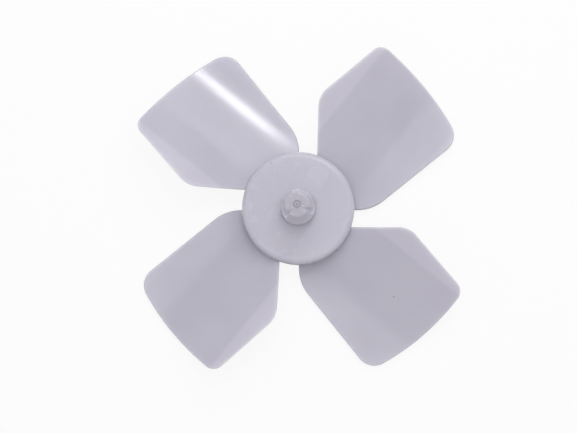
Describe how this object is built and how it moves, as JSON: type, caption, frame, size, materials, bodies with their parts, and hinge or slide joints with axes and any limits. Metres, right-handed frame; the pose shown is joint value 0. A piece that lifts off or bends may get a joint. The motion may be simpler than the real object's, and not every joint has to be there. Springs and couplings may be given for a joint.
{
  "type": "axial fan impeller",
  "caption": "Small axial fan impeller moulded in one piece: cambered blades with rounded corners on a cup-shaped hub, with a slotted boss and a blind shaft bore.",
  "frame": {"origin": "on the shaft axis, level with the rear rim of the hub", "axes": "+Z along the shaft axis towards the front, where the boss is; the blades lie at 45, 135, 225 and 315 degrees from +X"},
  "size_m": [0.0884, 0.0884, 0.0236],
  "materials": {
    "natural_plastic": "milky, slightly translucent natural plastic with a soft moulded gloss"
  },
  "bodies": {
    "root": {"impeller": "natural_plastic"}
  },
  "joints": []
}
